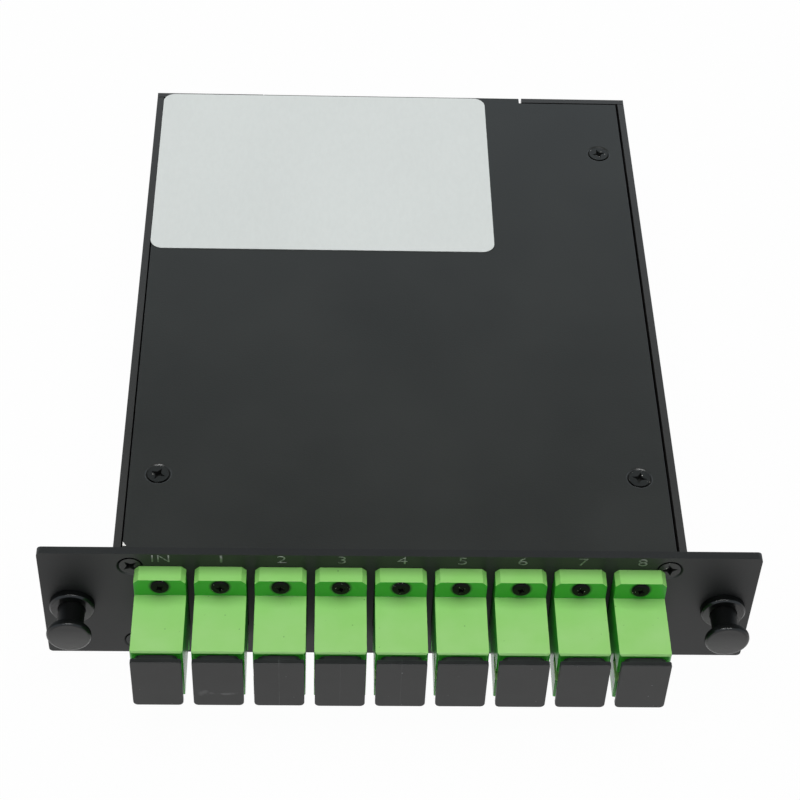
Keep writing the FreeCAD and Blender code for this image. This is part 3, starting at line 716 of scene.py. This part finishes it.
def screwTree(name, makeHead):
    tree = bpy.data.node_groups.new(name, "GeometryNodeTree")
    kinds = {"Places": "Geometry", **{label: "Float" for label in screwSizes},
             "tilt": "Vector", "seed": "Int", "finish": "Material"}
    for label, kind in kinds.items():
        tree.interface.new_socket(label, in_out="INPUT", socket_type="NodeSocket" + kind)
    tree.interface.new_socket("Screws", in_out="OUTPUT", socket_type="NodeSocketGeometry")
    given = addNode(tree, "NodeGroupInput").outputs
    cut = addNode(tree, "GeometryNodeMeshBoolean", operation="DIFFERENCE", solver="EXACT")
    tree.links.new(makeHead(tree, given), cut.inputs["Mesh 1"])
    for across in (False, True):
        tree.links.new(recessBlade(tree, given, across), cut.inputs["Mesh 2"])
    whole = addNode(tree, "GeometryNodeJoinGeometry")
    tree.links.new(cut.outputs["Mesh"], whole.inputs[0])
    tree.links.new(threadedShank(tree, given), whole.inputs[0])
    inputs = {"Points": given["Places"], "Instance": whole.outputs[0], "Rotation": given["tilt"]}
    placed = addNode(tree, "GeometryNodeInstanceOnPoints", inputs).outputs[0]
    inputs = {2: 0.0, 3: math.pi / 2, 8: given["seed"]}      # each recess is turned by up to a quarter
    turn = addNode(tree, "FunctionNodeRandomValue", inputs, data_type="FLOAT").outputs[1]
    spin = addNode(tree, "ShaderNodeCombineXYZ", {2: turn}).outputs[0]
    inputs = {"Instances": placed, "Rotation": spin, "Local Space": True}
    turned = addNode(tree, "GeometryNodeRotateInstances", inputs).outputs[0]
    real = addNode(tree, "GeometryNodeRealizeInstances", {0: turned}).outputs[0]
    inputs = {"Geometry": real, "Material": given["finish"]}
    done = addNode(tree, "GeometryNodeSetMaterial", inputs).outputs[0]
    addNode(tree, "NodeGroupOutput", {0: done})
    return tree


def runTree(name, places, tree, values):
    mesh = bpy.data.meshes.new(name)
    mesh.from_pydata(places, [], [])
    piece = addPiece(name, mesh)
    modifier = piece.modifiers.new("build", "NODES")
    modifier.node_group = tree
    for socket in tree.interface.items_tree:
        if socket.in_out == "INPUT" and socket.name in values:
            modifier[socket.identifier] = values[socket.name]
    bakeModifiers(piece)
    shadeSmooth(piece.data)
    piece.data.set_sharp_from_angle(angle=math.radians(meshValues["sharpAngle"]))
    return piece


coverScrewValues = {
    "headRadius": 2.0 * mm, "headDepth": 1.1 * mm, "recessLength": 2.9 * mm, "recessWidth": 1.05 * mm,
    "recessDepth": 1.0 * mm, "shankRadius": 1.24 * mm, "threadPitch": 0.45 * mm, "threadDepth": 0.28 * mm,
    "tilt": (0, 0, 0), "seed": 4,
}
panelScrewValues = dict(
    coverScrewValues, recessLength=3.1 * mm, recessWidth=1.3 * mm, tilt=(math.pi / 2, 0, 0), seed=7)
portScrewValues = {
    "headRadius": portScrewRadius, "headDepth": 0.5 * mm, "rim": 0.15 * mm, "dome": 0.35 * mm,
    "flatness": 0.6, "recessLength": 1.8 * mm, "recessWidth": 0.75 * mm, "recessDepth": 0.45 * mm,
    "shankRadius": 0.98 * mm, "threadPitch": 0.4 * mm, "threadDepth": 0.22 * mm,
    "tilt": (math.pi / 2, 0, 0), "seed": 11,
}
sunkTree = screwTree("sunk screw", sunkHead)
domedTree = screwTree("domed screw", domedHead)


def placeScrews(pieceName, node, tree, values, finish):
    # a screw stands for each solid of the node, its head's top level with the solid's outer end
    boxes = looseParts(node)
    low, high = boxes[0]
    upright = not any(values["tilt"])
    top = high.z if upright else low.y
    length = (high - low)[2 if upright else 1]
    middles = [(low + high) / 2 for low, high in boxes]
    places = [(middle.x, middle.y, top) if upright else (middle.x, top, middle.z) for middle in middles]
    shankLength = length - screwShape["shankStart"] * values["headDepth"]
    piece = runTree(pieceName, places, tree, dict(values, shankLength=shankLength, finish=finishes[finish]))
    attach(piece, bodyOfNode[node])
    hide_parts(node)
    print(pieceName, len(places), "screws,", len(piece.data.polygons), "faces")


placeScrews("cover_screw_set", "cover_screws", sunkTree, coverScrewValues, "screw")
placeScrews("panel_screw_set", "panel_screws", sunkTree, panelScrewValues, "screw")
placeScrews("port_screw_set", "adapter_screws", domedTree, portScrewValues, "portScrew")


# plain marks over the ports

markValues = {
    "height": 1.88 * mm,
    "thinning": -0.008,
    "spacing": 1.12,
    "widen": {"IN": 1.22, "1": 1.8},
    "widenOthers": 1.45,
    "leftShift": 0.12 * mm,      # sideways from the first port's middle, and from the last's
    "rightShift": 0.27 * mm,
    "leftHeight": 13.06 * mm,
    "rightHeight": 12.95 * mm,
    "thickness": 0.02 * mm,
    "proud": 0.01 * mm,
}


def markMesh(word, place):
    text = bpy.data.curves.new("mark", "FONT")
    text.body = word
    text.align_x = "CENTER"
    text.align_y = "CENTER"
    text.size = 1.0
    text.offset = markValues["thinning"]
    text.space_character = markValues["spacing"]
    holder = addPiece("mark", text)
    mesh = newMesh(holder)
    bpy.data.objects.remove(holder)
    tall = max(vert.co.y for vert in mesh.vertices) - min(vert.co.y for vert in mesh.vertices)
    size = markValues["height"] / tall
    wide = size * markValues["widen"].get(word, markValues["widenOthers"])
    upright = Matrix.Rotation(math.pi / 2, 4, "X")
    mesh.transform(Matrix.Translation(place) @ upright @ Matrix.Diagonal((wide, size, 1, 1)))
    return mesh


def portMarks():
    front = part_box("front_panel")[0].y
    firstX, lastX = middleX("adapter_in"), middleX("adapter_8")
    joined = bmesh.new()
    for port in portNames:
        x = middleX("adapter_" + port)
        share = (x - firstX) / (lastX - firstX)
        height = markValues["leftHeight"] + share * (markValues["rightHeight"] - markValues["leftHeight"])
        shift = markValues["leftShift"] + share * (markValues["rightShift"] - markValues["leftShift"])
        joined.from_mesh(markMesh(port.upper(), Vector((x + shift, front - markValues["proud"], height))))
    mesh = bpy.data.meshes.new("port_marks")
    joined.to_mesh(mesh)
    joined.free()
    piece = addPiece("port_marks", mesh)
    piece.modifiers.new("ink", "SOLIDIFY").thickness = markValues["thickness"]
    bakeModifiers(piece)
    setFinish(piece, "ink")
    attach(piece, "cassette")


portMarks()
print("marks made")


# pieces that stay as they come from the frame, with a finish for each

dressValues = {
    "blank_label": "paper",
    "sleeve_holders": "insert",
    "alignment_sleeves": "ceramic",
    "splitter_module": "steel",
    "module_clips": "insert",
    "fibre_coil": "jacket",
    "coil_clips": "insert",
    "input_fibre": "jacket",
    "output_fibres": "jacket",
    **{"connector_" + port: "green" for port in portNames},
    **{"cover_bracket_" + end + "_" + side: "coat" for end in ("front", "rear") for side in sides},
}
for node, finish in dressValues.items():
    if not nodes[node].material_slots:
        nodes[node].data.materials.append(finishes[finish])
    for slot in nodes[node].material_slots:
        slot.material = finishes[finish]
print("inner parts dressed:", len(dressValues))


# studio: floor, light and camera

studioValues = {
    "floorSize": 12.0,
    "floorColour": tone(208, 208, 208),
    "floorGlow": 0.98,      # how far the floor goes to plain white for the camera
    "floorGloss": 0.92,      # and for gloss
    "ambient": 0.1,
    "skyLow": (0.79, 0.89, 0.99, 1.0),      # what gloss sees low in the room
    "skyHigh": (0.04, 0.06, 0.04, 1.0),      # and under its ceiling
    "skyTurn": (0.5, 0.79),
    "keyPower": 14.2,      # a soft box overhead, which gloss doesn't mirror
    "keySize": (1.2, 1.2),
    "keyPlace": (-0.05, 0.15, 1.1),
    "edgePower": 7.5,      # a long narrow lamp in front, only for the light on edges
    "edgeSize": (1.1, 0.08),
    "edgePlace": (-0.1, -0.75, 0.95),
    "cameraPlace": (-14.05 * mm, -240.06 * mm, 305.77 * mm),
    "cameraAim": (1.14 * mm, 52.5 * mm, -2.13 * mm),
    "cameraRoll": 2.77,      # in degrees
    "cameraLens": 94.8,
    "cameraNear": 10 * mm,
}
white = (1, 1, 1, 1)


def seenPlainly(tree, direct, gloss):
    # a share for what the camera or a glass sees, another for what a mirror sees
    path = addNode(tree, "ShaderNodeLightPath").outputs
    straight = calc(tree, "MAXIMUM", path["Is Camera Ray"], path["Is Transmission Ray"])
    mirrored = calc(tree, "MULTIPLY", path["Is Glossy Ray"], gloss)
    return calc(tree, "MAXIMUM", calc(tree, "MULTIPLY", straight, direct), mirrored)


def makeWorld():
    # white to the camera, a dimmer room to gloss, and a low even light on everything
    world = bpy.data.worlds.new("studio")
    bpy.context.scene.world = world
    world.use_nodes = True
    tree = world.node_tree
    background = tree.nodes["Background"]
    steep = axesOf(tree, addNode(tree, "ShaderNodeTexCoord").outputs["Generated"])["Z"]
    rise = ramp(tree, steep, *studioValues["skyTurn"])
    room = mixColour(tree, rise, studioValues["skyLow"], studioValues["skyHigh"])
    gloss = addNode(tree, "ShaderNodeLightPath").outputs["Is Glossy Ray"]
    tree.links.new(mixColour(tree, gloss, white, room), background.inputs["Color"])
    strength = calc(tree, "MAXIMUM", seenPlainly(tree, 1.0, 1.0), studioValues["ambient"])
    tree.links.new(strength, background.inputs["Strength"])


def makeFloor():
    mesh = bpy.data.meshes.new("floor")
    half, height = studioValues["floorSize"] / 2, cadBox[0][2]
    corners = [(-half, -half, height), (half, -half, height), (half, half, height), (-half, half, height)]
    mesh.from_pydata(corners, [], [(0, 1, 2, 3)])
    floor = addPiece("floor", mesh)
    material = bpy.data.materials.new("floor")
    material.use_nodes = True
    tree = material.node_tree
    matt = addNode(tree, "ShaderNodeBsdfDiffuse", {"Color": studioValues["floorColour"]})
    glow = addNode(tree, "ShaderNodeEmission", {"Color": white, "Strength": 1.0})
    share = seenPlainly(tree, studioValues["floorGlow"], studioValues["floorGloss"])
    both = addNode(tree, "ShaderNodeMixShader", {0: share, 1: matt.outputs[0], 2: glow.outputs[0]})
    tree.links.new(both.outputs[0], tree.nodes["Material Output"].inputs["Surface"])
    mesh.materials.append(material)


def makeLamp(name, label):
    lamp = bpy.data.lights.new(name, "AREA")
    lamp.shape = "RECTANGLE"
    lamp.size, lamp.size_y = studioValues[label + "Size"]
    lamp.energy = studioValues[label + "Power"]
    holder = bpy.data.objects.new(name, lamp)
    holder.location = studioValues[label + "Place"]
    bpy.context.scene.collection.objects.link(holder)
    return holder


def makeLamps():
    key = makeLamp("soft box", "key")
    key.visible_glossy = False
    edge = makeLamp("edge lamp", "edge")
    edge.rotation_euler = edge.location.to_track_quat("Z", "Y").to_euler()      # it looks at the origin
    edge.visible_diffuse = False


def makeCamera():
    camera = bpy.data.objects.new("camera", bpy.data.cameras.new("camera"))
    camera.data.lens = studioValues["cameraLens"]
    camera.data.clip_start = studioValues["cameraNear"]
    place = Vector(studioValues["cameraPlace"])
    forward = (Vector(studioValues["cameraAim"]) - place).normalized()
    level = forward.cross(Vector((0, 0, 1))).normalized()
    upward = level.cross(forward)
    roll = math.radians(studioValues["cameraRoll"])
    right = math.cos(roll) * level + math.sin(roll) * upward
    up = math.cos(roll) * upward - math.sin(roll) * level
    turned = Matrix((right, up, -forward)).transposed().to_4x4()
    camera.matrix_world = Matrix.Translation(place) @ turned
    bpy.context.scene.collection.objects.link(camera)
    bpy.context.scene.camera = camera


makeWorld()
makeFloor()
makeLamps()
makeCamera()
bpy.context.scene.view_settings.view_transform = "Standard"
print("studio ready")
